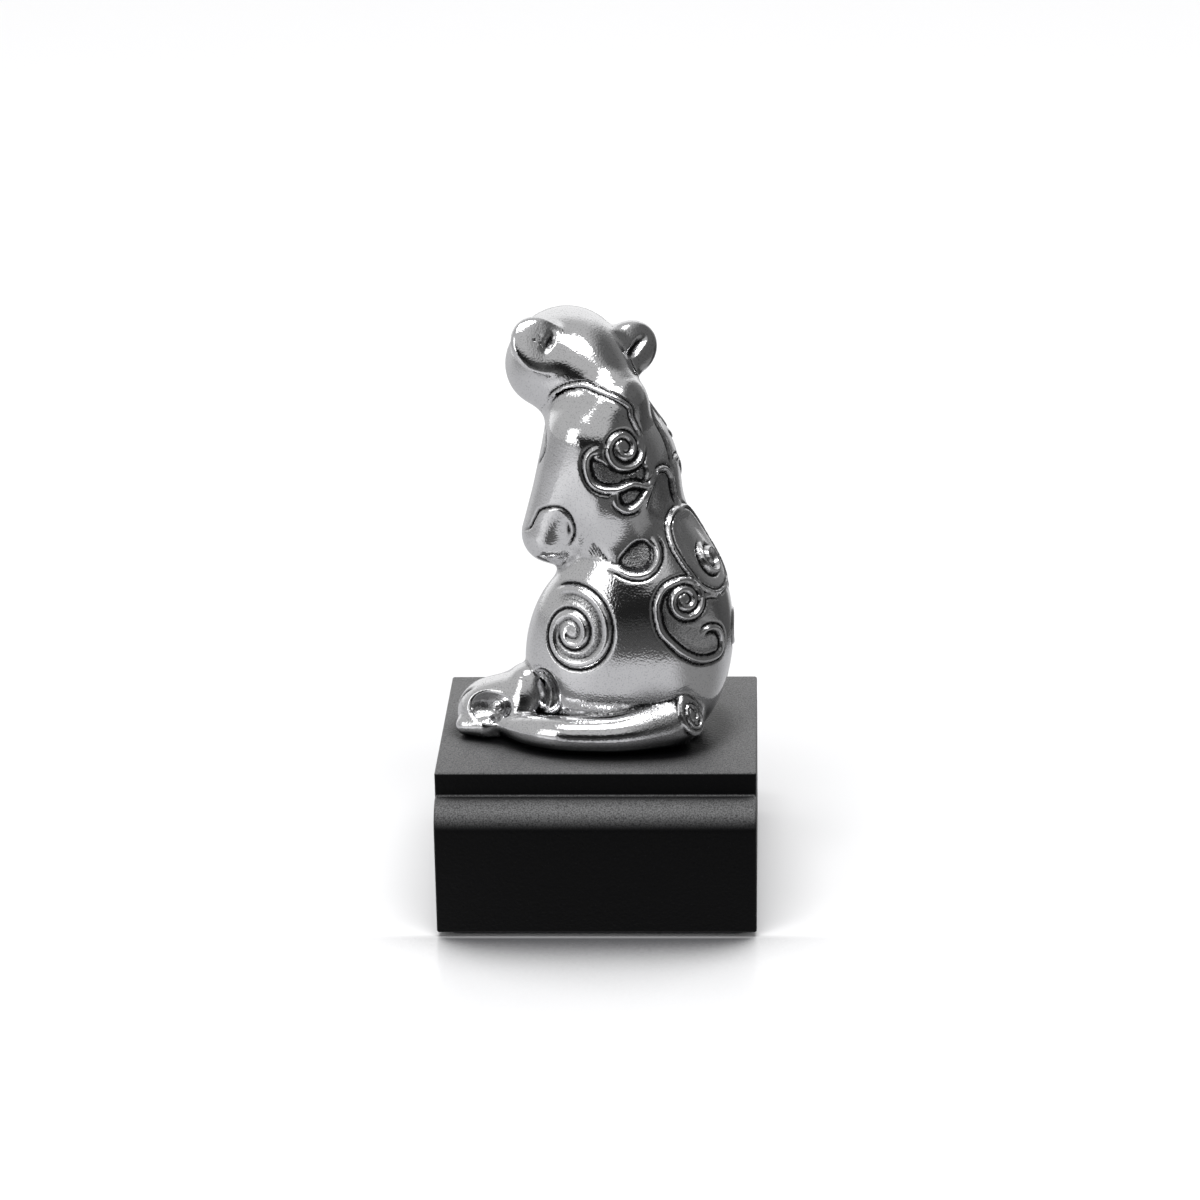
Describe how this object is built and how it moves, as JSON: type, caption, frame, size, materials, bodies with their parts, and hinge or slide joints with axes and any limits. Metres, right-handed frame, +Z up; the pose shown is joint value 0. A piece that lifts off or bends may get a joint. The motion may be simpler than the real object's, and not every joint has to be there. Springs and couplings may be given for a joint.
{
  "type": "rat figurine",
  "caption": "Seated rat in polished pewter with raised scrollwork, its head turned and its tail laid round its side, screwed to a black moulded wooden block as a free-standing ornament.",
  "frame": {"origin": "middle of the pad's underside, on the surface that the figurine stands on", "axes": "+Z up, X along the block's moulded front, -Y towards the viewer of the picture; the rat's body faces -X, turned a little towards +Y"},
  "size_m": [0.05, 0.05, 0.0935],
  "materials": {
    "pewter": "polished pewter with dark patina in the recesses",
    "black_lacquer": "satin black lacquer",
    "felt": "matte felt",
    "steel": "zinc plated"
  },
  "bodies": {
    "root": {"base_pad": "felt", "base_block": "black_lacquer", "front_fixing_screw": "steel", "rear_fixing_screw": "steel", "front_washer": "steel", "rear_washer": "steel", "body_casting": "pewter", "head_casting": "pewter", "left_ear": "pewter", "right_ear": "pewter", "left_foreleg": "pewter", "right_foreleg": "pewter", "left_hind_foot": "pewter", "right_hind_foot": "pewter", "tail": "pewter"}
  },
  "joints": []
}
